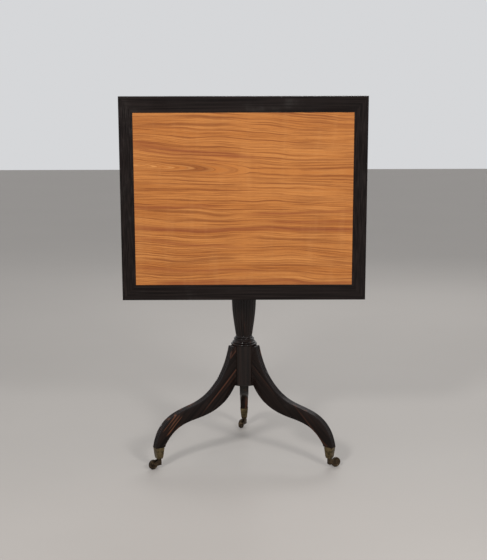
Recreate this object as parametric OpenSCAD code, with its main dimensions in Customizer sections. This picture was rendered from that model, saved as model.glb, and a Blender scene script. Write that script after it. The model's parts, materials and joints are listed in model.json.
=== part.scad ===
// Tilt top table: a rectangular veneered top that tips up on a turned column with three curved legs.
// Millimetres, +Z up, standing on the floor plane. The top is drawn level, then tipped up about its pivots.

/* [Table top] */
// Width of the top, side to side
top_w = 686; // [560:1:820]
// Depth of the top, front to back
top_d = 571; // [476:1:690]
// Thickness of the core board
core_t = 18; // [15:0.5:24]
// Thickness of the face veneers laid on the core
veneer_t = 2; // [1:0.1:3]
// Width of the dark border veneer at the sides, inside the edge moulding
border_w = 34; // [20:0.5:60]
// Width of the dark border veneer at the front and back, inside the edge moulding
border_d = 39.5; // [20:0.5:60]
// Thickness of the solid moulding round the edge
edge_t = 5; // [3:0.5:10]
// Radius of the rounding on the edge moulding
edge_round = 2; // [1:0.5:3]
// Height of the table's surface when the top is level
use_h = 720; // [600:1:800]

/* [Tilting] */
// Angle of the top when it is tipped up, from level
tilt_open = 93; // [80:1:96]
// Width and depth of the pivot block
block_w = 200; // [160:1:240]
// Thickness of the pivot block
block_t = 30; // [26:1:40]
// Clear gap between the top's underside and the block, level and tipped up
seat_gap = 0.3; // [0.2:0.1:1]
// Diameter of the brass pivot pins
pivot_d = 8; // [6:0.5:10]
// Length of each pivot pin inside the block
pivot_depth = 40; // [30:1:60]
// Radial clearance of everything that turns or slides
run_gap = 0.05; // [0.02:0.01:0.1]
// Clear gap at the sides of moving parts
side_gap = 1; // [0.5:0.1:2]

/* [Bearers] */
// Width of a bearer
bearer_w = 30; // [24:1:40]
// Height of a bearer
bearer_h = 32; // [30:1:45]
// Distance from a bearer's end to the edge of the top
bearer_inset = 50.5; // [30:0.5:80]

/* [Bolt] */
// Diameter of the sliding bolt
bolt_d = 8; // [6:0.5:9]
// Length of the sliding bolt
bolt_len = 49; // [44:1:60]
// Travel of the sliding bolt
bolt_throw = 9; // [5:0.5:10]
// Distance of the bolt's axis below the top
bolt_drop = 11; // [9:0.5:12]

/* [Column] */
// Radius of the hub that holds the legs
hub_r = 37; // [34:0.5:45]
// Height of the hub's lower face
hub_bottom = 214; // [200:1:230]
// Height of the hub's upper end, below the big ring
hub_top = 331.5; // [320:0.5:340]
// Radius of the reeded shaft at its foot
shaft_foot_r = 23.5; // [20:0.5:27]
// Largest radius of the reeded shaft
shaft_r = 35.6; // [32:0.1:40]
// Radius of the neck above the shaft
neck_r = 19; // [16:0.5:23]
// Radius of the flange under the block
flange_r = 40; // [36:0.5:46]
// Radius of the tenon through the block
tenon_r = 19; // [15:0.5:24]

/* [Legs] */
// Thickness of a leg at the hub
leg_t = 27; // [22:0.5:32]
// Thickness of a leg at its toe
toe_t = 25; // [24.5:0.5:28]
// Distance of the toe cups from the column axis
foot_r = 282; // [235:1:340]
// Width of the dovetail where it leaves the leg
tail_w = 11; // [8:0.5:13]
// Depth of the dovetail in the hub
tail_depth = 12; // [8:0.5:15]

/* [Casters] */
// Height of the upper rim of a toe cup
cup_top = 61.5; // [58:0.5:66]
// Width of a toe cup at its rim
cup_w = 24.5; // [22:0.5:25]
// Wall of a toe cup
cup_wall = 1.8; // [1.5:0.1:2.5]
// Diameter of a wheel
wheel_d = 28; // [24:0.5:34]
// Width of a wheel
wheel_w = 8; // [6:0.5:10]
// Diameter of a swivel pin
swivel_d = 6; // [5:0.5:7]
// Diameter of a wheel's axle
axle_d = 4; // [3:0.5:5]
// Direction in which the left wheel trails
left_trail_angle = -143; // [-180:1:180]
// Direction in which the right wheel trails
right_trail_angle = 25; // [-180:1:180]
// Direction in which the rear wheel trails
rear_trail_angle = -118; // [-180:1:180]

/* [Hidden] */
$fn = 64;
// A cut or a tool reaches past the solid by this much.
past = 1;

// Heights of the top and the block
top_t = core_t + veneer_t;
underside = use_h - top_t;
block_top = underside - seat_gap;
block_bottom = block_top - block_t;

// The pivot is centred in the block's thickness, and as far from its front face.
pivot_y = -(block_w - block_t) / 2;
pivot_z = block_top - block_t / 2;

// Bearers stand beside the block and hang from the core.
bearer_x = block_w / 2 + side_gap;
bearer_len = top_d - 2 * bearer_inset;
bearer_nose = bearer_h / 2;
bearer_slope = 55;
bearer_screw_y = bearer_len / 2 - bearer_slope - 30;
bearer_screw_d = 4.5;
screw_bite = 12;

// Pivot pins
pin_head_lip = 3;
pin_head_t = 2.5;

// The bolt slides in two guides on a brass plate behind the block.
plate_t = 2;
plate_w = 52;
plate_len = 44;
plate_screw_x = 19;
plate_screw_inset = 7;
bolt_z = underside - bolt_drop;
bolt_nose_y = block_w / 2 + side_gap;
bolt_chamfer = 1.5;
guide_len = 10;
guide_wall = 3.5;
guide_w = bolt_d + 2 * guide_wall;
guide_drop = bolt_drop + bolt_d / 2 + guide_wall;
guide_1_y = bolt_nose_y + 2;
guide_2_y = guide_1_y + plate_len - guide_len;
knob_y = guide_2_y - 6;
knob_stem_d = 4;
knob_stem_len = 16;
knob_r = 5.5;
small_screw_d = 3;
small_screw_len = 12;

// Strike plate and the bolt's hole behind it
strike_w = 44;
strike_h = 18;
strike_screw_x = 16;
strike_clear = 0.5;
bolt_hole_spare = 4;

// Column: rings above the hub, the reeded shaft, rings above its shoulder, the neck and the cap
hub_bevel = 1.5;
ring_r = 2.7;
ring_proud = 1.2;
bead_r = 2.2;
collar_r = 1.9;
flat_r = sqrt(hub_r * hub_r - leg_t * leg_t / 4);
reed_foot = hub_top + 26;
cap_foot = block_bottom - 30;
shoulder = up(0.582);
neck_foot = shoulder + 17;

// Wedge in the tenon's end
wedge_low = 6;
wedge_thin = 2;
wedge_thick = 4;

// Dovetails stop short of the hub's upper end.
leg_top = hub_top - 1;
tail_spread = 2;
tail_top = leg_top - 12;

// Legs
ledge_r = hub_r + 8;
toe_out = foot_r + 15;
toe_in = foot_r - 14.5;
curve_steps = 12;

// Spider plate under the hub. Its arms follow the first share of the legs' lower edge.
spider_t = 3;
spider_r = 30;
spider_lap = 12;
spider_arm_w = 16;
spider_arm_share = 0.25;
spider_steps = 4;
spider_screw_r = 20;
hub_screw_len = 23;
arm_screw_len = 19;

// Toe cups
cup_bottom = wheel_d + 0.5;
cup_floor = cup_bottom + 7.5;
cup_foot_w = 15;
cup_shoulder_w = 18.5;
cup_shoulder_z = cup_bottom + 5;
cup_draft = (cup_w - cup_shoulder_w) / 2;
spigot_gap = 0.2;
spigot_low = cup_floor + 3.5;

// Casters
wheel_r = wheel_d / 2;
wheel_gap = 1;
cheek_gap = 0.5;
rivet_gap = 0.3;
rivet_t = 1.5;
rivet_d = swivel_d + 3;
horn_top = cup_bottom - 0.5;
horn_body_r = swivel_d / 2 + 2;
horn_body_low = wheel_r - 4;
horn_cap_r = horn_body_r + 2;
horn_cap_t = 3;
trail = wheel_r + horn_body_r + wheel_gap;
cheek_t = 2.5;
cheek_x = wheel_w / 2 + cheek_gap;
cheek_boss_r = 4.5;
axle_head_t = 1;
axle_head_lip = 1;
wheel_rim = 2.5;
wheel_dish = 2;
wheel_boss_r = axle_d / 2 + 3;
wheel_side_round = 1.2;
wheel_tread_round = 1.5;

// The origin is on the floor, midway between the foremost wheel and the rearmost toe.
front_reach = foot_r / 2 + max(wheel_reach(left_trail_angle), wheel_reach(right_trail_angle));
rear_reach = max(toe_out, foot_r + wheel_reach(-rear_trail_angle));
axis_y = -(rear_reach - front_reach) / 2;

LEGS = [210, -30, 90];
LEFT = 0;
RIGHT = 1;
REAR = 2;
TRAILS = [left_trail_angle, right_trail_angle, rear_trail_angle];

WOOD = "#251c1a";
DARK = "#1f1b1a";
SATIN = "#c07c44";
UNDER = "#4a2c1c";
BRASS = "#6d5d3a";
IRON = "#3a3735";

// ---------- helpers ----------

function bezier(p, t) =
    pow(1 - t, 3) * p[0] + 3 * t * pow(1 - t, 2) * p[1] + 3 * t * t * (1 - t) * p[2] + pow(t, 3) * p[3];

function curve(p, first = 0, steps = curve_steps, last = 1) =
    [for (i = [0 : steps]) bezier(p, first + (last - first) * i / steps)];

function arc(c, r, from, to, steps = 8) =
    [for (i = [0 : steps]) let (angle = from + (to - from) * i / steps) c + r * [cos(angle), sin(angle)]];

function backwards(v) = [for (i = [len(v) - 1 : -1 : 0]) v[i]];

// How far a wheel that trails in some direction reaches to the front of its swivel axis
function wheel_reach(angle) =
    -trail * sin(angle) + wheel_r * abs(sin(angle)) + wheel_w / 2 * abs(cos(angle));

// A height on the column, as a share of the length between the reeds' foot and the cap
function up(share) = reed_foot + share * (cap_foot - reed_foot);

// A point on a leg: shares of the reach from hub to toe, and of the rise from cup to hub
function on_leg(out, rise) = [hub_r + out * (foot_r - hub_r), cup_top + rise * (hub_bottom - cup_top)];

// The standing part of the table, about the column's axis
module place() {
    translate([0, axis_y, 0]) children();
}

// What is drawn on the level top, tipped up about the pivots
module tilted() {
    translate([0, axis_y + pivot_y, pivot_z])
        rotate([tilt_open, 0, 0])
            translate([0, -pivot_y, -pivot_z])
                children();
}

// A leg's frame: X outwards from the column's axis
module at_leg(i) {
    place() rotate([0, 0, LEGS[i]]) children();
}

// A caster's frame: the swivel axis, with X towards the wheel
module at_caster(i) {
    at_leg(i) translate([foot_r, 0, 0]) rotate([0, 0, TRAILS[i] - LEGS[i]]) children();
}

// A countersunk screw: its face is at z = 0 and it points down.
module screw_body(d, length) {
    head_r = d;
    translate([0, 0, -length]) cylinder(d = d, h = length);
    translate([0, 0, d / 2 - head_r]) cylinder(r1 = d / 2, r2 = head_r, h = head_r - d / 2);
}

module screw(d, length) {
    difference() {
        screw_body(d, length);
        translate([-d * 2, -d / 10, -d / 6]) cube([d * 4, d / 5, d]);
    }
}

// ---------- top ----------

// A strip along the front of a rectangle, in plan, mitred to strips of another width at its ends
module mitred_plan(length, reach, width, next_width) {
    polygon([
        [-length / 2, -reach],
        [length / 2, -reach],
        [length / 2 - next_width, width - reach],
        [next_width - length / 2, width - reach]
    ]);
}

module core_board() {
    color(UNDER) tilted() difference() {
        translate([edge_t - top_w / 2, edge_t - top_d / 2, underside])
            cube([top_w - 2 * edge_t, top_d - 2 * edge_t, core_t]);
        bearer_screw_places() screw_body(bearer_screw_d, bearer_h + screw_bite);
        plate_screw_places() screw_body(small_screw_d, small_screw_len);
    }
}

module panel_veneer() {
    panel_w = top_w - 2 * (edge_t + border_w);
    panel_d = top_d - 2 * (edge_t + border_d);
    color(SATIN) tilted()
        translate([-panel_w / 2, -panel_d / 2, underside + core_t])
            cube([panel_w, panel_d, veneer_t]);
}

module border(side_w, side_d, width, next_width, angle) {
    color(DARK) tilted()
        rotate([0, 0, angle])
            translate([0, 0, underside + core_t])
                linear_extrude(veneer_t)
                    mitred_plan(side_w - 2 * edge_t, side_d / 2 - edge_t, width, next_width);
}

module border_front() { border(top_w, top_d, border_d, border_w, 0); }
module border_right() { border(top_d, top_w, border_w, border_d, 90); }
module border_back() { border(top_w, top_d, border_d, border_w, 180); }
module border_left() { border(top_d, top_w, border_w, border_d, 270); }

// The moulding's section is square at the core and rounded outside.
module edge(side_w, side_d, angle) {
    section = concat(
        [[0, 0]],
        [[0, top_t]],
        arc([edge_round - edge_t, top_t - edge_round], edge_round, 90, 180, 5),
        arc([edge_round - edge_t, edge_round], edge_round, 180, 270, 5)
    );
    color(DARK) tilted()
        rotate([0, 0, angle])
            translate([0, 0, underside])
                intersection() {
                    linear_extrude(top_t) mitred_plan(side_w, side_d / 2, edge_t, edge_t);
                    translate([0, edge_t - side_d / 2, 0])
                        rotate([90, 0, 90])
                            linear_extrude(side_w, center = true)
                                polygon(section);
                }
}

module edge_front() { edge(top_w, top_d, 0); }
module edge_right() { edge(top_d, top_w, 90); }
module edge_back() { edge(top_w, top_d, 180); }
module edge_left() { edge(top_d, top_w, 270); }

// ---------- bearers ----------

module bearer_screw_places() {
    for (side = [-1, 1])
        for (y = [-bearer_screw_y, 0, bearer_screw_y])
            translate([side * (bearer_x + bearer_w / 2), y, underside - bearer_h])
                rotate([180, 0, 0])
                    children();
}

module bearer(side) {
    half = bearer_len / 2;
    middle = side * (bearer_x + bearer_w / 2);
    color(UNDER) tilted() difference() {
        translate([middle, 0, underside])
            rotate([90, 0, 90])
                linear_extrude(bearer_w, center = true)
                    polygon([
                        [-half, 0],
                        [-half, -bearer_nose],
                        [bearer_slope - half, -bearer_h],
                        [half - bearer_slope, -bearer_h],
                        [half, -bearer_nose],
                        [half, 0]
                    ]);
        translate([middle, pivot_y, pivot_z])
            rotate([0, 90, 0])
                cylinder(d = pivot_d + 2 * run_gap, h = bearer_w + 2 * past, center = true);
        bearer_screw_places() screw_body(bearer_screw_d, bearer_h + screw_bite);
    }
}

module bearer_left() { bearer(-1); }
module bearer_right() { bearer(1); }

module bearer_screws() {
    color(IRON) tilted() bearer_screw_places() screw(bearer_screw_d, bearer_h + screw_bite);
}

// ---------- sliding bolt ----------

module plate_screw_places() {
    for (x = [-plate_screw_x, plate_screw_x])
        for (y = [plate_screw_inset, plate_len - plate_screw_inset])
            translate([x, guide_1_y + y, underside - plate_t])
                rotate([180, 0, 0])
                    children();
}

module bolt_guide(y) {
    translate([-guide_w / 2, y, underside - guide_drop]) cube([guide_w, guide_len, guide_drop]);
}

module bolt_plate() {
    color(BRASS) tilted() difference() {
        union() {
            translate([-plate_w / 2, guide_1_y, underside - plate_t]) cube([plate_w, plate_len, plate_t]);
            bolt_guide(guide_1_y);
            bolt_guide(guide_2_y);
        }
        translate([0, guide_1_y - past, bolt_z])
            rotate([-90, 0, 0])
                cylinder(d = bolt_d + 2 * run_gap, h = plate_len + 2 * past);
        plate_screw_places() screw_body(small_screw_d, small_screw_len);
    }
}

module bolt_plate_screws() {
    color(BRASS) tilted() plate_screw_places() screw(small_screw_d, small_screw_len);
}

module latch_bolt() {
    color(BRASS) tilted() difference() {
        translate([0, bolt_nose_y, bolt_z]) rotate([-90, 0, 0]) {
            cylinder(d1 = bolt_d - 2 * bolt_chamfer, d2 = bolt_d, h = bolt_chamfer);
            translate([0, 0, bolt_chamfer]) cylinder(d = bolt_d, h = bolt_len - bolt_chamfer);
        }
        knob_stem();
    }
}

module knob_stem() {
    translate([0, knob_y, bolt_z - knob_stem_len]) cylinder(d = knob_stem_d, h = knob_stem_len);
}

module latch_knob() {
    color(BRASS) tilted() {
        knob_stem();
        translate([0, knob_y, bolt_z - knob_stem_len]) sphere(r = knob_r);
    }
}

// ---------- block ----------

module strike_screw_places() {
    for (x = [-strike_screw_x, strike_screw_x])
        translate([x, block_w / 2, bolt_z])
            rotate([-90, 0, 0])
                children();
}

module strike_blank() {
    translate([-strike_w / 2, block_w / 2 - plate_t, bolt_z - strike_h / 2])
        cube([strike_w, plate_t, strike_h]);
}

module bolt_hole(depth) {
    translate([0, block_w / 2 + past, bolt_z])
        rotate([90, 0, 0])
            cylinder(d = bolt_d + 2 * strike_clear, h = depth + past);
}

// The block's front is rounded about the pivot, then cut back so that the tipped-up top lies on it.
module pivot_block() {
    r = block_t / 2;
    stop = tilt_open + 90;
    lean = tilt_open - 90;
    front = [pivot_y, pivot_z] + r * [cos(stop), sin(stop)];
    drop = front[1] - block_bottom;
    section = concat(
        [[block_w / 2, block_bottom]],
        [[block_w / 2, block_top]],
        arc([pivot_y, pivot_z], r, 90, stop, 16),
        [[front[0] + drop * tan(lean), block_bottom]]
    );
    color(WOOD) place() difference() {
        rotate([90, 0, 90]) linear_extrude(block_w, center = true) polygon(section);
        translate([0, 0, block_bottom - past]) cylinder(r = tenon_r, h = block_t + 2 * past);
        for (side = [-1, 1])
            pivot_bar(side, pivot_depth, past);
        strike_blank();
        bolt_hole(bolt_throw + bolt_hole_spare);
        strike_screw_places() screw_body(small_screw_d, small_screw_len);
    }
}

// A bar along the pivot's axis, from inside the block to some way past its side
module pivot_bar(side, inside, outside) {
    translate([side * (block_w / 2 - inside), pivot_y, pivot_z])
        rotate([0, side * 90, 0])
            cylinder(d = pivot_d, h = inside + outside);
}

module pivot_pin(side) {
    head_x = bearer_x + bearer_w + seat_gap;
    color(BRASS) place() {
        pivot_bar(side, pivot_depth, head_x - block_w / 2);
        translate([side * head_x, pivot_y, pivot_z])
            rotate([0, side * 90, 0])
                cylinder(d = pivot_d + 2 * pin_head_lip, h = pin_head_t);
    }
}

module pivot_pin_left() { pivot_pin(-1); }
module pivot_pin_right() { pivot_pin(1); }

module strike_plate() {
    color(BRASS) place() difference() {
        strike_blank();
        bolt_hole(plate_t + past);
        strike_screw_places() screw_body(small_screw_d, small_screw_len);
    }
}

module strike_screws() {
    color(BRASS) place() strike_screw_places() screw(small_screw_d, small_screw_len);
}

// ---------- column ----------

module wedge_blank() {
    foot = block_bottom + wedge_low;
    rotate([90, 0, 0])
        linear_extrude(2 * tenon_r + 2 * past, center = true)
            polygon([
                [-wedge_thin / 2, foot],
                [wedge_thin / 2, foot],
                [wedge_thick / 2, block_top],
                [-wedge_thick / 2, block_top]
            ]);
}

// Hub and the rings above it
function hub_outline() = concat(
    [[0, hub_bottom], [hub_r - hub_bevel, hub_bottom], [hub_r, hub_bottom + hub_bevel], [hub_r, hub_top]],
    arc([hub_r + ring_proud - ring_r, hub_top + ring_r], ring_r, -90, 90),
    arc([hub_r - 3 - bead_r, hub_top + 8.5], bead_r, -60, 75, 6),
    [[hub_r - 6, hub_top + 12], [hub_r - 8.4, hub_top + 15.6]],
    arc([hub_r - 7.2 - bead_r, hub_top + 18.3], bead_r, -60, 80, 6),
    arc([shaft_foot_r + 2.4 - collar_r, hub_top + 22.6], collar_r, -70, 90, 6)
);

// The reeded shaft swells from its foot, then rounds in to a shoulder.
function shaft_outline() = concat(
    curve([[shaft_foot_r, reed_foot], [shaft_foot_r + 6, up(0.142)],
        [shaft_r, up(0.256)], [shaft_r, up(0.415)]], steps = 14),
    curve([[shaft_r, up(0.415)], [shaft_r, up(0.504)],
        [shaft_r - 6, up(0.554)], [neck_r + 3, shoulder]], steps = 8)
);

// Two rings above the shoulder, the neck, the cap's ring and the flange under the block
function neck_outline() = concat(
    arc([neck_r + 3, shoulder + 6], 4, -90, 90),
    [[neck_r + 1.5, shoulder + 12]],
    arc([neck_r + 1.5, shoulder + 14.5], 2, -90, 90, 6),
    curve([[neck_r, neck_foot], [neck_r - 1.5, (2 * neck_foot + cap_foot) / 3],
        [neck_r + 1, (neck_foot + 2 * cap_foot) / 3], [flange_r - 13, cap_foot]]),
    arc([flange_r - 12, block_bottom - 23], 5, -90, 90),
    curve([[flange_r - 11, block_bottom - 16], [flange_r - 10, block_bottom - 8],
        [flange_r - 4, block_bottom - 6], [flange_r, block_bottom - 4]], steps = 6),
    [[flange_r, block_bottom]]
);

function column_outline() = concat(
    hub_outline(),
    shaft_outline(),
    neck_outline(),
    [[tenon_r, block_bottom], [tenon_r, block_top], [0, block_top]]
);

// A dovetail's plan, from the hub's flat inwards
module tail_plan() {
    polygon([
        [flat_r + past, tail_w / 2],
        [flat_r, tail_w / 2],
        [flat_r - tail_depth, tail_w / 2 + tail_spread],
        [flat_r - tail_depth, -tail_w / 2 - tail_spread],
        [flat_r, -tail_w / 2],
        [flat_r + past, -tail_w / 2]
    ]);
}

module column() {
    color(WOOD) place() difference() {
        rotate_extrude() polygon(column_outline());
        for (a = LEGS) rotate([0, 0, a]) {
            translate([flat_r, -leg_t / 2 - past, hub_bottom - past])
                cube([hub_r, leg_t + 2 * past, leg_top - hub_bottom + past]);
            translate([0, 0, hub_bottom - past])
                linear_extrude(tail_top - hub_bottom + past)
                    tail_plan();
        }
        wedge_blank();
        hub_screw_places() screw_body(bearer_screw_d, hub_screw_len);
    }
}

module tenon_wedge() {
    color(UNDER) place() intersection() {
        wedge_blank();
        translate([0, 0, block_bottom]) cylinder(r = tenon_r, h = block_t + past);
    }
}

// ---------- legs ----------

// Each edge of a leg is two curves that meet with one slope: from the hub to the knee, and on to the toe.
upper_knee = on_leg(0.498, 0.7475);
lower_knee = on_leg(0.624, 0.423);
under_arch = [[hub_r + 1, hub_bottom], on_leg(0.171, 0.489), on_leg(0.482, 0.489), lower_knee];

function leg_outline() = concat(
    [[flat_r, leg_top]],
    curve([[ledge_r, leg_top], on_leg(0.11, 1.17), on_leg(0.306, 0.862), upper_knee]),
    curve([upper_knee, on_leg(0.7, 0.626), on_leg(0.972, 0.633), [toe_out, cup_top]]),
    backwards(curve([lower_knee, on_leg(0.763, 0.363), on_leg(0.849, 0.275), [toe_in, cup_top]])),
    backwards(concat(
        curve(under_arch, steps = spider_steps, last = spider_arm_share),
        curve(under_arch, first = spider_arm_share)
    )),
    [[flat_r, hub_bottom]]
);

// The spigot that fills a toe cup down to the swivel pin's head
module toe_spigot() {
    half = cup_w / 2 - cup_wall - spigot_gap;
    translate([foot_r, 0, 0]) square_taper(half - cup_draft, spigot_low, half, cup_top + past);
}

// A square block that widens upwards, given half its width at its foot and at its head
module square_taper(low_half, low_z, high_half, high_z) {
    section = [[-low_half, low_z], [low_half, low_z], [high_half, high_z], [-high_half, high_z]];
    intersection() {
        rotate([90, 0, 0]) linear_extrude(2 * high_half, center = true) polygon(section);
        rotate([90, 0, 90]) linear_extrude(2 * high_half, center = true) polygon(section);
    }
}

module leg(i) {
    color(WOOD) at_leg(i) difference() {
        union() {
            intersection() {
                rotate([90, 0, 0]) linear_extrude(leg_t, center = true) polygon(leg_outline());
                linear_extrude(leg_top + past)
                    polygon([
                        [0, -leg_t / 2],
                        [flat_r, -leg_t / 2],
                        [toe_out + past, -toe_t / 2],
                        [toe_out + past, toe_t / 2],
                        [flat_r, leg_t / 2],
                        [0, leg_t / 2]
                    ]);
            }
            translate([0, 0, hub_bottom]) linear_extrude(tail_top - hub_bottom) tail_plan();
            toe_spigot();
        }
        arm_screw_place() screw_body(bearer_screw_d, arm_screw_len);
    }
}

module leg_left() { leg(LEFT); }
module leg_right() { leg(RIGHT); }
module leg_rear() { leg(REAR); }

// ---------- spider plate ----------

module hub_screw_places() {
    for (a = LEGS)
        rotate([0, 0, a + 60])
            translate([spider_screw_r, 0, hub_bottom - spider_t])
                rotate([180, 0, 0])
                    children();
}

// Under a leg, square to the second stretch of its lower edge
module arm_screw_place() {
    a = bezier(under_arch, spider_arm_share / 2);
    b = bezier(under_arch, spider_arm_share * 3 / 4);
    slope = atan2(b[1] - a[1], b[0] - a[0]);
    middle = (a + b) / 2;
    translate([middle[0], 0, middle[1]])
        rotate([0, -slope, 0])
            translate([0, 0, -spider_t])
                rotate([180, 0, 0])
                    children();
}

function offset_below(v, d) = [
    for (i = [0 : len(v) - 1])
        let (
            a = v[max(i - 1, 0)],
            b = v[min(i + 1, len(v) - 1)],
            along = (b - a) / norm(b - a)
        )
        v[i] + d * [along[1], -along[0]]
];

module spider_arm() {
    top_line = curve(under_arch, steps = spider_steps, last = spider_arm_share);
    rotate([90, 0, 0])
        linear_extrude(spider_arm_w, center = true)
            polygon(concat(
                [[spider_r - spider_lap, hub_bottom]],
                top_line,
                backwards(offset_below(top_line, spider_t)),
                [[spider_r, hub_bottom - spider_t], [spider_r - spider_lap, hub_bottom - spider_t]]
            ));
}

module spider_plate() {
    color(IRON) place() difference() {
        union() {
            translate([0, 0, hub_bottom - spider_t]) cylinder(r = spider_r, h = spider_t);
            for (a = LEGS) rotate([0, 0, a]) spider_arm();
        }
        hub_screw_places() screw_body(bearer_screw_d, hub_screw_len);
        for (a = LEGS) rotate([0, 0, a]) arm_screw_place() screw_body(bearer_screw_d, arm_screw_len);
    }
}

module spider_screws() {
    color(IRON) place() {
        hub_screw_places() screw(bearer_screw_d, hub_screw_len);
        for (a = LEGS) rotate([0, 0, a]) arm_screw_place() screw(bearer_screw_d, arm_screw_len);
    }
}

// ---------- toe cups and casters ----------

// The cup's outer section tapers, then turns in at the bottom.
module cup_section() {
    polygon([
        [-cup_w / 2, cup_top],
        [-cup_shoulder_w / 2, cup_shoulder_z],
        [-cup_foot_w / 2, cup_bottom],
        [cup_foot_w / 2, cup_bottom],
        [cup_shoulder_w / 2, cup_shoulder_z],
        [cup_w / 2, cup_top]
    ]);
}

module toe_cup(i) {
    inner = cup_w / 2 - cup_wall;
    color(BRASS) at_leg(i) translate([foot_r, 0, 0]) difference() {
        intersection() {
            rotate([90, 0, 0]) linear_extrude(cup_w, center = true) cup_section();
            rotate([90, 0, 90]) linear_extrude(cup_w, center = true) cup_section();
        }
        square_taper(inner - cup_draft, cup_floor, inner, cup_top + past);
        translate([0, 0, cup_bottom - past])
            cylinder(d = swivel_d + 2 * run_gap, h = cup_floor - cup_bottom + 2 * past);
    }
}

module toe_cup_left() { toe_cup(LEFT); }
module toe_cup_right() { toe_cup(RIGHT); }
module toe_cup_rear() { toe_cup(REAR); }

// Pressed into the horn, turning in the cup, with a riveted head inside the cup
module swivel_pin(i) {
    color(BRASS) at_caster(i) {
        translate([0, 0, horn_body_low]) cylinder(d = swivel_d, h = cup_floor + rivet_gap - horn_body_low);
        translate([0, 0, cup_floor + rivet_gap]) cylinder(d = rivet_d, h = rivet_t);
    }
}

module swivel_pin_left() { swivel_pin(LEFT); }
module swivel_pin_right() { swivel_pin(RIGHT); }
module swivel_pin_rear() { swivel_pin(REAR); }

module cheek(side) {
    low = wheel_r - cheek_boss_r + 0.2;
    high = wheel_r + cheek_boss_r - 0.2;
    translate([0, side * (cheek_x + cheek_t / 2), 0]) rotate([90, 0, 0])
    linear_extrude(cheek_t, center = true) {
        translate([trail, wheel_r]) circle(r = cheek_boss_r);
        polygon([
            [1 - horn_body_r, horn_top - horn_cap_t],
            [1 - horn_body_r, horn_body_low],
            [trail - 1, low],
            [trail + 1, high],
            [horn_body_r + 3, horn_top - horn_cap_t]
        ]);
    }
}

module caster_horn(i) {
    color(BRASS) at_caster(i) difference() {
        union() {
            translate([0, 0, horn_body_low]) cylinder(r = horn_body_r, h = horn_top - horn_body_low);
            translate([0, 0, horn_top - horn_cap_t]) cylinder(r = horn_cap_r, h = horn_cap_t);
            cheek(-1);
            cheek(1);
        }
        translate([0, 0, horn_body_low - past])
            cylinder(d = swivel_d, h = horn_top - horn_body_low + 2 * past);
        translate([trail, 0, wheel_r])
            rotate([90, 0, 0])
                cylinder(d = axle_d, h = 2 * (cheek_x + cheek_t + past), center = true);
    }
}

module caster_horn_left() { caster_horn(LEFT); }
module caster_horn_right() { caster_horn(RIGHT); }
module caster_horn_rear() { caster_horn(REAR); }

module axle(i) {
    half = cheek_x + cheek_t;
    color(BRASS) at_caster(i) translate([trail, 0, wheel_r]) rotate([90, 0, 0]) {
        cylinder(d = axle_d, h = 2 * half, center = true);
        for (side = [-1, 1])
            translate([0, 0, side * (half + axle_head_t / 2)])
                cylinder(d = axle_d + 2 * axle_head_lip, h = axle_head_t, center = true);
    }
}

module axle_left() { axle(LEFT); }
module axle_right() { axle(RIGHT); }
module axle_rear() { axle(REAR); }

// A solid brass wheel, dished on both faces between its rim and its boss
module wheel(i) {
    half = wheel_w / 2;
    bore = axle_d / 2 + run_gap;
    rim = wheel_r - wheel_rim;
    floor = half - wheel_dish;
    face = [
        [bore, -half],
        [wheel_boss_r, -half],
        [wheel_boss_r + 1, -floor],
        [rim - 1, -floor],
        [rim, -half],
        [wheel_r - wheel_side_round, -half],
        [wheel_r, wheel_tread_round - half]
    ];
    color(BRASS) at_caster(i) translate([trail, 0, wheel_r]) rotate([90, 0, 0])
        rotate_extrude()
            polygon(concat(face, backwards([for (p = face) [p[0], -p[1]]])));
}

module wheel_left() { wheel(LEFT); }
module wheel_right() { wheel(RIGHT); }
module wheel_rear() { wheel(REAR); }

// ---------- nodes ----------

core_board();
panel_veneer();
border_front();
border_right();
border_back();
border_left();
edge_front();
edge_right();
edge_back();
edge_left();
bearer_left();
bearer_right();
bearer_screws();
bolt_plate();
bolt_plate_screws();
latch_bolt();
latch_knob();
pivot_block();
pivot_pin_left();
pivot_pin_right();
strike_plate();
strike_screws();
column();
tenon_wedge();
leg_left();
leg_right();
leg_rear();
spider_plate();
spider_screws();
toe_cup_left();
toe_cup_right();
toe_cup_rear();
caster_horn_left();
caster_horn_right();
caster_horn_rear();
swivel_pin_left();
swivel_pin_right();
swivel_pin_rear();
axle_left();
axle_right();
axle_rear();
wheel_left();
wheel_right();
wheel_rear();
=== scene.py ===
import json
import math

import bmesh
import bpy
import numpy as np
from mathutils import Matrix, Vector

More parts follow.
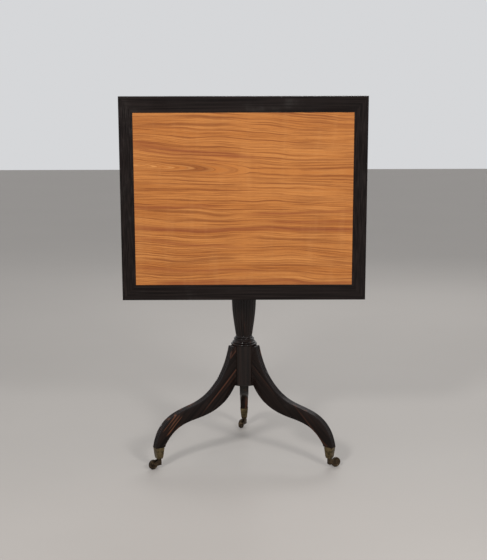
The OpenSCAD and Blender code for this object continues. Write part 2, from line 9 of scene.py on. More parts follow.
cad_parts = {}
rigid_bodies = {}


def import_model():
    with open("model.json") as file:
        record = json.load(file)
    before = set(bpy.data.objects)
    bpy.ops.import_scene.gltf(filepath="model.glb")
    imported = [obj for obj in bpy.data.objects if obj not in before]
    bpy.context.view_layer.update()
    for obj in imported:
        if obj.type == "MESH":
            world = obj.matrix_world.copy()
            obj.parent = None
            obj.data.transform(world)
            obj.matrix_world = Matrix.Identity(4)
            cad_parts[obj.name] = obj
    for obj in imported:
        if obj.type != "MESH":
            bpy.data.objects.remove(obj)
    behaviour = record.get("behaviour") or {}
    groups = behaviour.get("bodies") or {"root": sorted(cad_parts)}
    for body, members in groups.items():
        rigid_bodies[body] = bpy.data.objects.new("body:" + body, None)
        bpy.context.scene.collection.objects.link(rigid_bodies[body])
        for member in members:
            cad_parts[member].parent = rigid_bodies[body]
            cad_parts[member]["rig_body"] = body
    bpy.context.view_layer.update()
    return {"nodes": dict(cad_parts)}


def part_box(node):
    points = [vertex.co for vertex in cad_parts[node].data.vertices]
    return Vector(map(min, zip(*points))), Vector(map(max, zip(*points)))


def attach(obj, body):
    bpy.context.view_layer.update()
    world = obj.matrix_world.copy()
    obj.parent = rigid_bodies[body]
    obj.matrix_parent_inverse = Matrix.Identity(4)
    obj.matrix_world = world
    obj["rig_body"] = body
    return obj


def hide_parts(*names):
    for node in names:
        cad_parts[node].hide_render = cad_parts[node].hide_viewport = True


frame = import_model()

MM = 0.001
SIDES = ("left", "right", "rear")


def middle(node):
    low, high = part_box(node)
    return (low + high) / 2


# The column's axis on the floor, and the middle of the veneered panel
AXIS = Vector((middle("pivot_block").x, middle("column").y, 0))
PANEL = middle("panel_veneer")


# ---------- shader nodes ----------


class Shader:
    """A Principled material, with short ways to add nodes in front of it."""

    def __init__(self, name, **sockets):
        self.material = bpy.data.materials.new(name)
        self.material.use_nodes = True
        self.tree = self.material.node_tree
        self.surface = self.tree.nodes["Principled BSDF"]
        for socket, value in sockets.items():
            self.surface.inputs[socket.replace("_", " ")].default_value = value

    def add(self, kind, *inputs, **settings):
        node = self.tree.nodes.new("ShaderNode" + kind)
        for key, value in settings.items():
            setattr(node, key, value)
        for i, value in enumerate(inputs):
            self.put(node.inputs[i], value)
        return node

    def put(self, socket, value):
        if isinstance(value, bpy.types.NodeSocket):
            self.tree.links.new(value, socket)
        elif value is not None:
            socket.default_value = value

    def math(self, operation, a, b=0.0, clamp=False):
        return self.add("Math", a, b, operation=operation, use_clamp=clamp).outputs[0]

    def vector(self, x, y, z):
        return self.add("CombineXYZ", x, y, z).outputs[0]

    def noise(self, vector, scale, detail=2.0, roughness=0.5):
        node = self.add("TexNoise", vector, normalize=True)
        node.inputs["Scale"].default_value = scale
        node.inputs["Detail"].default_value = detail
        node.inputs["Roughness"].default_value = roughness
        return node.outputs["Fac"]

    def place(self, offset=(0, 0, 0), turn=(0, 0, 0), scale=(1, 1, 1)):
        """The object's own coordinates, turned and moved, and only then stretched"""
        coords = self.add("TexCoord").outputs["Object"]
        turned = self.add("Mapping", coords, vector_type="POINT")
        turned.inputs["Location"].default_value = offset
        turned.inputs["Rotation"].default_value = turn
        return self.add("VectorMath", turned.outputs[0], scale, operation="MULTIPLY").outputs[0]

    def stretch(self, value, low, high):
        """0 at low and below, 1 at high and above, smooth between"""
        node = self.add("MapRange", interpolation_type="SMOOTHSTEP")
        self.put(node.inputs["Value"], value)
        node.inputs["From Min"].default_value = low
        node.inputs["From Max"].default_value = high
        return node.outputs[0]

    def between(self, value, low, high):
        """low where value is 0 and high where it is 1"""
        node = self.add("MapRange")
        self.put(node.inputs["Value"], value)
        node.inputs["To Min"].default_value = low
        node.inputs["To Max"].default_value = high
        return node.outputs[0]

    def mix(self, share, a, b, blend="MIX"):
        node = self.add("Mix", data_type="RGBA", blend_type=blend)
        self.put(node.inputs["Factor"], share)
        for socket, value in ((node.inputs[6], a), (node.inputs[7], b)):
            self.put(socket, value if isinstance(value, bpy.types.NodeSocket) else (*value, 1))
        return node.outputs[2]

    def bump(self, height, distance, strength):
        node = self.add("Bump")
        node.inputs["Strength"].default_value = strength
        node.inputs["Distance"].default_value = distance
        self.put(node.inputs["Height"], height)
        return node.outputs[0]

    def finish(self, color, roughness, normal=None):
        self.put(self.surface.inputs["Base Color"], color)
        self.put(self.surface.inputs["Roughness"], roughness)
        self.put(self.surface.inputs["Normal"], normal)
        return self.material


# ---------- materials ----------

# Bands of redder wood across the panel, in metres from its middle:
# (height, rise to the right, half width, strength, left end, right end)
RED_BANDS = (
    (0.118, -0.13, 0.007, 0.9, -0.32, 0.02),
    (0.100, -0.14, 0.004, 0.6, -0.32, -0.06),
    (-0.036, 0.01, 0.0035, 0.9, 0.02, 0.32),
    (-0.060, 0.0, 0.0035, 0.7, 0.06, 0.32),
    (-0.078, -0.022, 0.006, 1.0, -0.32, 0.32),
    (-0.012, 0.02, 0.004, 0.7, -0.32, -0.08),
    (-0.131, -0.10, 0.004, 0.7, -0.32, -0.02),
    (-0.203, -0.05, 0.005, 0.7, -0.32, 0.02),
    (-0.232, -0.03, 0.007, 0.9, -0.24, 0.32),
)


def figured_veneer():
    """Growth rings cut at a small angle: nested tongues along the heart line, level streaks beside it"""
    s = Shader("figured_veneer", Coat_Weight=0.1, Coat_Roughness=0.25, Specular_IOR_Level=0.16)
    coords = s.place(offset=(-PANEL.x, -PANEL.y, -PANEL.z))
    split = s.add("SeparateXYZ", coords)
    x, z = split.outputs[0], split.outputs[2]
    slow = s.noise(s.vector(s.math("MULTIPLY", x, 2.2), 0.0, s.math("MULTIPLY", z, 6.0)), 1.0, 2.0)
    quick = s.noise(s.vector(s.math("MULTIPLY", x, 9.0), 3.0, s.math("MULTIPLY", z, 24.0)), 1.0, 2.0)
    wander = s.math("ADD", s.math("MULTIPLY", s.math("SUBTRACT", slow, 0.5), 0.055),
                    s.math("MULTIPLY", s.math("SUBTRACT", quick, 0.5), 0.010))
    height = s.math("ADD", z, wander)

    # Distance from the heart, which dives below the surface towards the right
    heart = s.math("SUBTRACT", s.math("SUBTRACT", height, 0.083), s.math("MULTIPLY", x, -0.035))
    depth = s.math("MAXIMUM", s.math("MULTIPLY", s.math("ADD", x, 0.33), 0.075), 0.0005)
    depth = s.math("MINIMUM", depth, 0.026)
    square = s.math("ADD", s.math("MULTIPLY", heart, heart), s.math("MULTIPLY", depth, depth))
    ring = s.math("SQRT", square)

    def streaks(along, across, detail, seed):
        """Noise along the rings, by its fineness along and across them"""
        where = s.vector(s.math("MULTIPLY", x, along), seed, s.math("MULTIPLY", ring, across))
        return s.noise(where, 1.0, detail, 0.55)

    broad = streaks(1.2, 34.0, 2.0, 1.0)
    medium = streaks(2.4, 150.0, 4.0, 5.0)
    lines = streaks(3.4, 330.0, 3.0, 13.0)
    fine = streaks(8.0, 760.0, 2.0, 9.0)
    color = s.mix(s.stretch(broad, 0.3, 0.7), (0.475, 0.184, 0.047), (0.385, 0.132, 0.029))
    color = s.mix(s.math("MULTIPLY", s.stretch(medium, 0.54, 0.64), 0.50), color, (0.205, 0.057, 0.013))
    color = s.mix(s.math("MULTIPLY", s.stretch(lines, 0.52, 0.585), 0.62), color, (0.175, 0.047, 0.011))
    color = s.mix(s.math("MULTIPLY", s.stretch(fine, 0.50, 0.60), 0.50), color, (0.175, 0.048, 0.012))
    color = s.mix(s.math("MULTIPLY", s.stretch(lines, 0.48, 0.34), 0.30), color, (0.54, 0.235, 0.070))
    # Nested tongues where the heart comes to the surface
    tongue = s.math("SINE", s.math("ADD", s.math("MULTIPLY", ring, 1500.0), s.math("MULTIPLY", broad, 9.0)))
    by_heart = s.math("MULTIPLY", s.stretch(ring, 0.026, 0.008), s.stretch(x, 0.06, -0.08))
    color = s.mix(s.math("MULTIPLY", s.stretch(tongue, 0.2, 0.95), s.math("MULTIPLY", by_heart, 0.5)), color,
                  (0.56, 0.255, 0.080))
    for level, rise, width, strength, start, end in RED_BANDS:
        away = s.math("SUBTRACT", s.math("SUBTRACT", height, level), s.math("MULTIPLY", x, rise))
        near = s.stretch(s.math("ABSOLUTE", away), width * 1.9, width * 0.2)
        past_start = s.stretch(x, start - 0.03, start + 0.05)
        before_end = s.stretch(x, end + 0.05, end - 0.05)
        inside = s.math("MULTIPLY", past_start, before_end)
        broken = s.between(s.stretch(medium, 0.35, 0.6), 0.45, 1.0)
        share = s.math("MULTIPLY", s.math("MULTIPLY", near, inside), s.math("MULTIPLY", broken, strength * 0.8))
        color = s.mix(share, color, (0.215, 0.055, 0.017))
    pores = s.noise(s.vector(s.math("MULTIPLY", x, 55.0), 0.0, s.math("MULTIPLY", height, 1500.0)), 1.0, 1.0)
    pore = s.stretch(pores, 0.62, 0.72)
    color = s.mix(s.math("MULTIPLY", pore, 0.35), color, (0.12, 0.035, 0.010))
    # Painted sheen: faint lighter upright bands stand in for the shimmer that light raises in the figure
    glow = s.noise(s.vector(s.math("MULTIPLY", x, 30.0), 1.0, s.math("MULTIPLY", z, 5.0)), 1.0, 2.0)
    color = s.mix(s.math("MULTIPLY", s.stretch(glow, 0.5, 0.75), 0.07), color, (0.62, 0.31, 0.11))
    roughness = s.between(medium, 0.30, 0.46)
    return s.finish(color, roughness, s.bump(pores, 0.00008, 0.25))


def dark_border(along):
    """Near-black polished veneer, brushed lengthwise and rubbed grey in places"""
    s = Shader("dark_border_" + along, Coat_Weight=0.05, Coat_Roughness=0.26, Specular_IOR_Level=0.06)
    long, cross = 5.0, 420.0
    scale = (long, cross, cross) if along == "across" else (cross, cross, long)
    brushed = s.noise(s.place(scale=scale), 1.0, 3.0)
    cloud = s.noise(s.place(), 11.0, 5.0, 0.6)
    color = s.mix(s.stretch(brushed, 0.35, 0.7), (0.0052, 0.0036, 0.0033), (0.0150, 0.0106, 0.0095))
    rubbed = s.math("MULTIPLY", s.stretch(cloud, 0.56, 0.75), s.stretch(brushed, 0.42, 0.62))
    color = s.mix(s.math("MULTIPLY", rubbed, 0.5), color, (0.040, 0.036, 0.033))
    roughness = s.between(s.stretch(cloud, 0.35, 0.65), 0.27, 0.44)
    return s.finish(color, roughness, s.bump(brushed, 0.00005, 0.5))


def dark_wood(name, turn, glow=1.0, polish=0.12, patch=None):
    """Dark polished wood with a few reddish streaks along Z once the coordinates are turned,
    and more of them round the patch, a point in the object's own coordinates"""
    s = Shader(name, Coat_Weight=polish, Coat_Roughness=0.08, Specular_IOR_Level=0.04)
    grain = s.noise(s.place(turn=turn, scale=(190, 190, 5)), 1.0, 3.0)
    red = s.noise(s.place(offset=(0.03, 0, 0), turn=turn, scale=(75, 75, 2.4)), 1.0, 2.0)
    cloud = s.noise(s.place(), 16.0, 4.0, 0.6)
    color = s.mix(s.stretch(grain, 0.3, 0.7), (0.0034, 0.0021, 0.0018), (0.0110, 0.0063, 0.0050))
    color = s.mix(s.math("MULTIPLY", s.stretch(red, 0.60, 0.72), 0.75 * glow), color, (0.078, 0.029, 0.016))
    color = s.mix(s.math("MULTIPLY", s.stretch(cloud, 0.58, 0.8), 0.25), color, (0.030, 0.024, 0.022))
    if patch:
        away = s.add("VectorMath", s.place(), patch, operation="DISTANCE").outputs["Value"]
        streaks = s.noise(s.place(offset=(0.07, 0, 0), turn=turn, scale=(210, 40, 9)), 1.0, 2.0)
        share = s.math("MULTIPLY", s.stretch(away, 0.042, 0.026), s.stretch(streaks, 0.52, 0.60))
        color = s.mix(s.math("MULTIPLY", share, 0.75), color, (0.110, 0.043, 0.022))
    roughness = s.between(s.stretch(cloud, 0.3, 0.7), 0.24, 0.40)
    return s.finish(color, roughness, s.bump(grain, 0.00006, 0.5))


def underside_wood(along):
    """Plain stained board, matt, with open grain"""
    s = Shader("underside_wood_" + along, Specular_IOR_Level=0.3)
    scale = (4, 130, 130) if along == "across" else (130, 130, 4)
    grain = s.noise(s.place(scale=scale), 1.0, 4.0, 0.6)
    fine = s.noise(s.place(scale=tuple(5 * v for v in scale)), 1.0, 2.0)
    color = s.mix(s.stretch(grain, 0.3, 0.7), (0.038, 0.0150, 0.0078), (0.105, 0.043, 0.021))
    color = s.mix(s.math("MULTIPLY", s.stretch(fine, 0.55, 0.75), 0.6), color, (0.020, 0.009, 0.005))
    return s.finish(color, s.between(grain, 0.5, 0.75), s.bump(fine, 0.0002, 0.5))


def tarnished_brass(name, clean, dull):
    """Brass whose clean and dull colours lie in clouds"""
    s = Shader(name, Metallic=1.0)
    cloud = s.noise(s.place(), 95.0, 5.0, 0.6)
    fine = s.noise(s.place(), 900.0, 3.0)
    color = s.mix(s.stretch(cloud, 0.35, 0.68), clean, dull)
    color = s.mix(s.math("MULTIPLY", s.stretch(fine, 0.5, 0.8), 0.4), color, (0.035, 0.026, 0.017))
    return s.finish(color, s.between(s.stretch(cloud, 0.3, 0.7), 0.36, 0.6), s.bump(fine, 0.00006, 0.5))


def blackened_iron():
    s = Shader("blackened_iron", Metallic=0.9)
    cloud = s.noise(s.place(), 70.0, 5.0, 0.6)
    fine = s.noise(s.place(), 700.0, 3.0)
    color = s.mix(s.stretch(cloud, 0.45, 0.72), (0.030, 0.028, 0.026), (0.075, 0.040, 0.024))
    return s.finish(color, s.between(cloud, 0.45, 0.7), s.bump(fine, 0.00012, 0.6))


def floor_paint():
    s = Shader("floor_paint", Specular_IOR_Level=0.25)
    cloud = s.noise(s.place(), 1.2, 4.0)
    return s.finish(s.mix(cloud, (0.36, 0.335, 0.31), (0.40, 0.375, 0.35)), s.between(cloud, 0.6, 0.7))


# ---------- meshes ----------


def piece(name, mesh, material, body, replaced):
    """A finished mesh as an object that rides on a body and stands for CAD nodes"""
    obj = bpy.data.objects.new(name, mesh)
    bpy.context.scene.collection.objects.link(obj)
    mesh.materials.clear()
    mesh.materials.append(material)
    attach(obj, body)
    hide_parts(*replaced)
    return obj


def smooth_shaded(mesh, angle=35):
    mesh.shade_smooth()
    mesh.set_sharp_from_angle(angle=math.radians(angle))
    return mesh


def mesh_of(name, points, faces):
    mesh = bpy.data.meshes.new(name)
    mesh.from_pydata([tuple(p) for p in points], [], faces)
    mesh.validate()
    mesh.update()
    bm = bmesh.new()
    bm.from_mesh(mesh)
    bmesh.ops.recalc_face_normals(bm, faces=bm.faces)
    bm.to_mesh(mesh)
    bm.free()
    return mesh


def eased(node, radius, material, segments=3):
    """The CAD node's shape with its arrises rounded"""
    source = frame["nodes"][node]
    bm = bmesh.new()
    bm.from_mesh(source.data)
    bmesh.ops.remove_doubles(bm, verts=bm.verts, dist=1e-6)
    bmesh.ops.dissolve_limit(bm, angle_limit=math.radians(0.5), verts=bm.verts, edges=bm.edges)
    mesh = bpy.data.meshes.new(node + "_eased")
    bm.to_mesh(mesh)
    bm.free()
    for name in [a.name for a in mesh.attributes if "custom_normal" in a.name]:
        mesh.attributes.remove(mesh.attributes[name])
    draft = bpy.data.objects.new("draft", mesh)
    bpy.context.scene.collection.objects.link(draft)
    bevel = draft.modifiers.new("bevel", "BEVEL")
    bevel.width = radius
    bevel.segments = segments
    bevel.limit_method = "ANGLE"
    bevel.angle_limit = math.radians(32)
    bevel.miter_outer = "MITER_ARC"
    bpy.context.view_layer.update()
    done = bpy.data.meshes.new_from_object(draft.evaluated_get(bpy.context.evaluated_depsgraph_get()))
    bpy.data.objects.remove(draft)
    done.name = node + "_eased"
    return piece(node + "_eased", smooth_shaded(done), material, source["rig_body"], [node])


def welded(node, to_local):
    """A CAD node's points and triangles in another frame, with points that coincide made one"""
    mesh = frame["nodes"][node].data
    mesh.calc_loop_triangles()
    points, index, numbers = [], {}, []
    for vertex in mesh.vertices:
        local = to_local @ vertex.co
        key = tuple(round(v, 6) for v in local)
        if key not in index:
            index[key] = len(points)
            points.append(local)
        numbers.append(index[key])
    triangles = [tuple(numbers[i] for i in t.vertices) for t in mesh.loop_triangles]
    return points, [t for t in triangles if len(set(t)) == 3]


def smooth_line(points, count):
    """count points evenly spaced on a smooth curve through the given ones"""
    p = np.array(points)
    t = np.concatenate([[0], np.cumsum(np.linalg.norm(np.diff(p, axis=0), axis=1))])
    slope = np.gradient(p, t, axis=0, edge_order=2) if len(p) > 2 else np.gradient(p, t, axis=0)
    s = np.linspace(0, t[-1], count)
    i = np.clip(np.searchsorted(t, s, side="right") - 1, 0, len(t) - 2)
    h = (t[i + 1] - t[i])[:, None]
    u = ((s - t[i]) / h[:, 0])[:, None]
    return ((2 * u ** 3 - 3 * u ** 2 + 1) * p[i] + (u ** 3 - 2 * u ** 2 + u) * h * slope[i]
            + (3 * u ** 2 - 2 * u ** 3) * p[i + 1] + (u ** 3 - u ** 2) * h * slope[i + 1])


def turns(points, closed):
    """The angle that a line turns through at each of its points, in degrees"""
    p = np.array(points)
    before = p - np.roll(p, 1, axis=0)
    after = np.roll(p, -1, axis=0) - p
    cross = before[:, 0] * after[:, 1] - before[:, 1] * after[:, 0]
    angle = np.degrees(np.abs(np.arctan2(cross, (before * after).sum(1))))
    if not closed:
        angle[0] = angle[-1] = 180
    return angle


def split_at_corners(points, closed, sharpest=40):
    """The stretches of a line between its corners"""
    corners = [i for i, a in enumerate(turns(points, closed)) if a > sharpest]
    n = len(points)
    ends = zip(corners, corners[1:] + [corners[0] + n]) if closed else zip(corners, corners[1:])
    return [[points[k % n] for k in range(a, b + 1)] for a, b in ends]


# ---------- the column ----------

REEDS = 24
REED_DEPTH = 1.9 * MM
AROUND = REEDS * 10
STATION_STEP = 2.5 * MM
# The shaft is the longest of the outline's stretches that have more points than this.
SHAFT_POINTS = 12


def column_profile():
    """(radius, height) up the column's seam, as the CAD solid has it"""
    points, _ = welded("column", Matrix.Translation(-AXIS))
    seam = [(p.x, p.z) for p in points if abs(p.y) < 0.01 * MM and p.x > -0.01 * MM]
    low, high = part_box("column")
    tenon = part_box("pivot_block")[0].z
    rest = [p for p in seam if low.z + 0.1 * MM < p[1] < tenon - 0.1 * MM and p[0] > 16 * MM]
    rest.sort(key=lambda p: (round(p[1], 6), -p[0]))
    flange = max(p[0] for p in seam if abs(p[1] - tenon) < 0.1 * MM)
    tenon_r = max(p[0] for p in seam if abs(p[1] - high.z) < 0.1 * MM)
    foot = max(math.hypot(p.x, p.y) for p in points if p.z - low.z < 0.1 * MM)
    sunk = high.z - 0.15 * MM
    return [(0, low.z), (foot, low.z)] + rest + [(flange, tenon), (tenon_r, tenon), (tenon_r, sunk), (0, sunk)]


def reed_relief(height, foot, head):
    """How deep the reeds are at a height: full between the ends of the shaft, fading out at both"""
    rise = np.clip((height - foot) / (7 * MM), 0, 1)
    fall = np.clip((head - height) / (9 * MM), 0, 1)
    return REED_DEPTH * np.sqrt(rise * (2 - rise)) * np.sqrt(fall * (2 - fall))


def length_of(line):
    return sum(math.dist(a, b) for a, b in zip(line, line[1:]))


def turned_column(material):
    """The column with its reeds, drawn on the CAD solid's own outline"""
    lines = split_at_corners(column_profile(), closed=False)
    curved = [line for line in lines if len(line) > SHAFT_POINTS]
    shaft = max(curved, key=length_of)
    foot, head = shaft[0][1], shaft[-1][1]
    stations = []
    for line in lines:
        if len(line) > 2:
            dense = smooth_line(line, max(len(line) * 2, int(length_of(line) / STATION_STEP)))
        else:
            dense = np.array(line)
        stations.extend(dense if not stations else dense[1:])
    angles = np.arange(AROUND) * 2 * math.pi / AROUND
    lobes = 1 - np.abs(np.sin(angles * REEDS / 2)) ** 0.75
    points = []
    for r, z in stations:
        relief = reed_relief(z, foot, head) if foot < z < head else 0
        radii = np.maximum(r - relief * lobes, 0)
        if r < 1e-6:
            points.append((0, 0, z))
        else:
            points.extend((q * math.cos(a), q * math.sin(a), z) for q, a in zip(radii, angles))
    last = len(points) - 1
    faces = [(0, 1 + i, 1 + (i + 1) % AROUND) for i in range(AROUND)]
    rings = (len(points) - 2) // AROUND
    for k in range(rings - 1):
        a, b = 1 + k * AROUND, 1 + (k + 1) * AROUND
        faces += [(a + i, b + i, b + (i + 1) % AROUND, a + (i + 1) % AROUND) for i in range(AROUND)]
    a = 1 + (rings - 1) * AROUND
    faces += [(a + i, last, a + (i + 1) % AROUND) for i in range(AROUND)]
    mesh = mesh_of("column_turned", points, faces)
    mesh.transform(Matrix.Translation(AXIS))
    return piece("column_turned", smooth_shaded(mesh, 32), material, "base", ["column"])


# ---------- the legs ----------

STATIONS = 84
ARRIS = 1.4 * MM
REED_WIDTH_SHARE = 0.80
LEG_REED_DEPTH = 0.9 * MM
DIAGONAL = 0.7071
# The end of a section: (share of the half width, distance back from the side, depth)
ROUNDED_ARRIS = [(1.0, ARRIS, 0.0), (1.0, 0.3 * ARRIS, 0.25 * ARRIS), (1.0, 0.0, ARRIS)]
ANKLE_DEPTH = 1.2 * MM
ANKLE_HEIGHT = 40 * MM
BEAD_HEIGHT = 4.5 * MM
# Where the left leg shows a patch of lighter streaks: reach from the column's axis, side and height
LEG_PATCH = (0.242, 0.012, 0.125)


def leg_frame(side):
    """From the leg's own frame, X outwards from the column's axis, to the row frame"""
    out = middle("toe_cup_" + side) - AXIS
    return Matrix.Translation(AXIS) @ Matrix.Rotation(math.atan2(out.y, out.x), 4, "Z")


def leg_side(side):
    """The outline of the leg's flat side, as a closed line of (reach, height), and its half thickness by reach"""
    points, triangles = welded("leg_" + side, leg_frame(side).inverted())
    flat = []
    for t in triangles:
        a, b, c = (points[i] for i in t)
        normal = (b - a).cross(c - a)
        if normal.length > 0 and normal.y / normal.length > 0.992:
            flat.append(t)
    edges = {(t[i], t[(i + 1) % 3]) for t in flat for i in range(3)}
    following = {a: b for a, b in edges if (b, a) not in edges}
    loops = []
    while following:
        start = next(iter(sorted(following)))
        loop, at = [], start
        while at in following:
            loop.append(at)
            at = following.pop(at)
        loops.append(loop)
    best = max(loops, key=lambda loop: sum((points[a] - points[b]).length for a, b in zip(loop, loop[1:])))
    line = [(points[i].x, points[i].z) for i in best]
    near = min(best, key=lambda i: points[i].x)
    far = max(best, key=lambda i: points[i].x)
    slope = (points[far].y - points[near].y) / (points[far].x - points[near].x)
    return line, lambda reach: points[near].y + slope * (reach - points[near].x)


def leg_edges(line):
    """The leg's upper and lower edges from hub to toe, smoothed, and its end on the hub"""
    curves = sorted(split_at_corners(line, closed=True), key=len)[-2:]
    curves = [c if c[0][0] < c[-1][0] else c[::-1] for c in curves]
    curves.sort(key=lambda c: -max(p[1] for p in c))
    upper, lower = (smooth_line(c, STATIONS) for c in curves)
    hub = min(p[0] for p in line)
    return upper, lower, hub


def normals(line):
    """Unit normals to the left of a line that runs from hub to toe, so upwards and outwards"""
    d = np.gradient(line, axis=0)
    d /= np.linalg.norm(d, axis=1)[:, None]
    return np.stack([-d[:, 1], d[:, 0]], axis=1)


def reeded_section():
    """Half of the upper face: (share of the half width, arris offset, depth), from the middle out"""
    rows = []
    for k in range(13):
        share = k / 12
        lobe = abs(math.cos(1.5 * math.pi * share)) ** 0.8
        rows.append((share * REED_WIDTH_SHARE, 0.0, LEG_REED_DEPTH * (1 - lobe)))
    rows.append((REED_WIDTH_SHARE + 0.035, 0.0, 0.25 * LEG_REED_DEPTH))
    rows.append((REED_WIDTH_SHARE + 0.07, 0.0, 0.0))
    return rows + ROUNDED_ARRIS


def ankle_inset(height, rim):
    """The leg stands back a little above the bead that meets the toe cup's rim"""
    up = height - rim
    bead = np.sin(np.clip(up / BEAD_HEIGHT, 0, 1) * math.pi)
    return ANKLE_DEPTH * (1 - bead) * np.clip(1 - (up - BEAD_HEIGHT) / ANKLE_HEIGHT, 0, 1)


def shaped_leg(side, material):
    """A leg with rounded arrises, three reeds on its upper face and a bead over the toe cup"""
    line, half_width = leg_side(side)
    upper, lower, hub = leg_edges(line)
    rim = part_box("toe_cup_" + side)[1].z
    up, down = normals(upper), -normals(lower)
    inside = hub - 0.5 * MM
    corner = 0.7 * MM
    ledge_z, foot_z = upper[0][1], lower[0][1]
    stations = [
        ((inside, ledge_z), (0, 1), (inside, foot_z), (0, -1)),
        ((upper[0][0] - corner, ledge_z), (0, 1), (lower[0][0] - 0.1 * MM, foot_z), (0, -1)),
        ((upper[0][0] - 0.25 * corner, ledge_z - 0.25 * corner), (DIAGONAL, DIAGONAL),
         tuple(lower[0]), tuple(down[0])),
    ]
    for i in range(1, STATIONS):
        stations.append((tuple(upper[i]), tuple(up[i]), tuple(lower[i]), tuple(down[i])))

    def half_section(at, normal, rows, sign):
        inset = ankle_inset(at[1], rim)
        half = []
        for share, back, deep in rows:
            reach = at[0] - normal[0] * (deep + inset)
            high = at[1] - normal[1] * (deep + inset)
            half.append((reach, sign * (share * half_width(reach) - back - share * inset), high))
        return half

    section = reeded_section()
    plain = [(0.0, 0.0, 0.0), (0.5, 0.0, 0.0)] + ROUNDED_ARRIS
    rings = []
    for at_top, n_top, at_foot, n_foot in stations:
        ring = []
        for sign in (1, -1):
            top = half_section(at_top, n_top, section, sign)
            foot = half_section(at_foot, n_foot, plain, sign)
            if sign > 0:
                ring += top + foot[::-1]
            else:
                ring += foot[1:] + top[:0:-1]
        rings.append(ring)
    around = len(rings[0])
    points = [p for ring in rings for p in ring]
    faces = [tuple(range(around)), tuple(range(len(points) - 1, len(points) - 1 - around, -1))]
    for k in range(len(rings) - 1):
        a, b = k * around, (k + 1) * around
        faces += [(a + i, b + i, b + (i + 1) % around, a + (i + 1) % around) for i in range(around)]
    name = "leg_" + side + "_shaped"
    mesh = mesh_of(name, points, faces)
    obj = bpy.data.objects.new(name, smooth_shaded(mesh, 38))
    bpy.context.scene.collection.objects.link(obj)
    mesh.materials.append(material)
    obj.matrix_world = leg_frame(side)
    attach(obj, "base")
    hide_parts("leg_" + side)
    return obj


# ---------- everything in its place ----------


def dress(node, material):
    """A CAD node whose shape is right keeps it and takes a material."""
    mesh = frame["nodes"][node].data
    mesh.materials.clear()
    mesh.materials.append(material)


def build():
    brass = tarnished_brass("tarnished_brass", (0.175, 0.132, 0.070), (0.052, 0.040, 0.022))
    sooty = tarnished_brass("sooty_brass", (0.095, 0.066, 0.040), (0.028, 0.021, 0.015))
    iron = blackened_iron()
    across, upright = dark_border("across"), dark_border("upright")
    board, bearer = underside_wood("across"), underside_wood("upright")
    turned = dark_wood("dark_wood_turned", (0, 0, 0), 1.0, 0.4)
    block = dark_wood("dark_wood_block", (0, math.radians(90), 0), 0.6)
    fall = (0, math.radians(44), 0)
    legs = {side: dark_wood("dark_wood_leg_" + side, fall, 1.0, 0.2, LEG_PATCH if side == "left" else None)
            for side in SIDES}

    dress("panel_veneer", figured_veneer())
    dress("core_board", board)
    for where, material in (("front", across), ("back", across), ("left", upright), ("right", upright)):
        dress("border_" + where, material)
        dress("edge_" + where, material)

    turned_column(turned)
    for side in SIDES:
        shaped_leg(side, legs[side])
        eased("toe_cup_" + side, 0.8 * MM, brass)
        eased("caster_horn_" + side, 0.5 * MM, sooty)
        eased("axle_" + side, 0.35 * MM, sooty)
        eased("wheel_" + side, 0.5 * MM, sooty)
        eased("swivel_pin_" + side, 0.3 * MM, sooty)
    for side in SIDES[:2]:
        eased("bearer_" + side, 1.5 * MM, bearer)
        eased("pivot_pin_" + side, 0.5 * MM, brass)
    eased("pivot_block", 1.5 * MM, block)
    eased("tenon_wedge", 0.3 * MM, bearer)
    eased("spider_plate", 0.4 * MM, iron)
    eased("bolt_plate", 0.4 * MM, brass)
    eased("strike_plate", 0.3 * MM, brass)
    eased("latch_bolt", 0.3 * MM, brass)
    eased("latch_knob", 0.3 * MM, brass)
    for node, material in (("bearer_screws", iron), ("spider_screws", iron),
                           ("bolt_plate_screws", brass), ("strike_screws", brass)):
        eased(node, 0.15 * MM, material, 2)


# ---------- floor, light and camera ----------

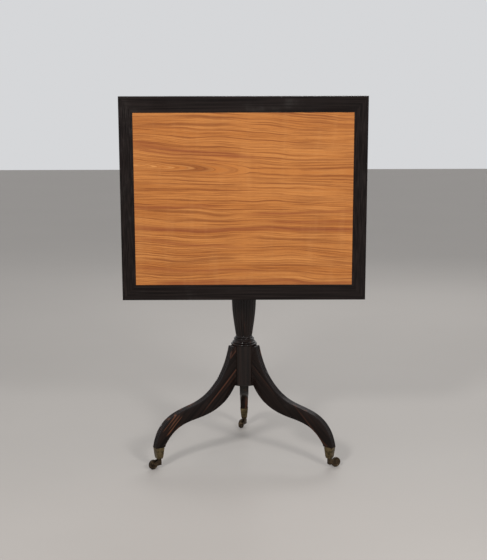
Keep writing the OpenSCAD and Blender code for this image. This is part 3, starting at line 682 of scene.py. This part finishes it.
CAMERA_AWAY = 3.4633
CAMERA_SIDE = -0.001
CAMERA_HEIGHT = 1.086
CAMERA_DOWN = 9.246
CAMERA_ROLL = -0.16
CAMERA_LENS = 77.417
SENSOR = 36.0
FLOOR_REACH = 12.0
# The lights aim at the middle of the table.
AIM = (0, 0, 0.6)


def area_light(name, place, size, power):
    light = bpy.data.lights.new(name, "AREA")
    light.shape = "RECTANGLE"
    light.size, light.size_y = size
    light.energy = power
    obj = bpy.data.objects.new(name, light)
    bpy.context.scene.collection.objects.link(obj)
    obj.location = place
    obj.rotation_euler = (Vector(AIM) - Vector(place)).to_track_quat("-Z", "Y").to_euler()


def studio():
    """World, floor, lights and the camera where the photographer stood"""
    scene = bpy.context.scene
    scene.view_settings.view_transform = "Standard"
    world = bpy.data.worlds.new("studio")
    world.use_nodes = True
    background = world.node_tree.nodes["Background"]
    background.inputs["Color"].default_value = (0.86, 0.87, 0.89, 1)
    background.inputs["Strength"].default_value = 0.78
    scene.world = world

    corners = [(-FLOOR_REACH, -FLOOR_REACH, 0), (FLOOR_REACH, -FLOOR_REACH, 0),
               (FLOOR_REACH, FLOOR_REACH, 0), (-FLOOR_REACH, FLOOR_REACH, 0)]
    floor_mesh = mesh_of("floor", corners, [(0, 1, 2, 3)])
    floor = bpy.data.objects.new("floor", floor_mesh)
    scene.collection.objects.link(floor)
    floor_mesh.materials.append(floor_paint())

    area_light("key", (-1.3, -3.2, 2.4), (0.5, 0.45), 68)
    area_light("fill", (1.5, -3.0, 2.0), (0.45, 0.45), 50)
    area_light("behind", (0.8, 2.6, 2.4), (2.0, 1.2), 30)

    camera = bpy.data.cameras.new("camera")
    camera.sensor_fit = "AUTO"
    camera.sensor_width = SENSOR
    camera.lens = CAMERA_LENS
    obj = bpy.data.objects.new("camera", camera)
    scene.collection.objects.link(obj)
    pitch = Matrix.Rotation(math.radians(90 - CAMERA_DOWN), 4, "X")
    roll = Matrix.Rotation(math.radians(CAMERA_ROLL), 4, "Z")
    stand = AXIS + Vector((CAMERA_SIDE, -CAMERA_AWAY, CAMERA_HEIGHT))
    obj.matrix_world = Matrix.Translation(stand) @ pitch @ roll
    scene.camera = obj


build()
studio()
bpy.context.view_layer.update()
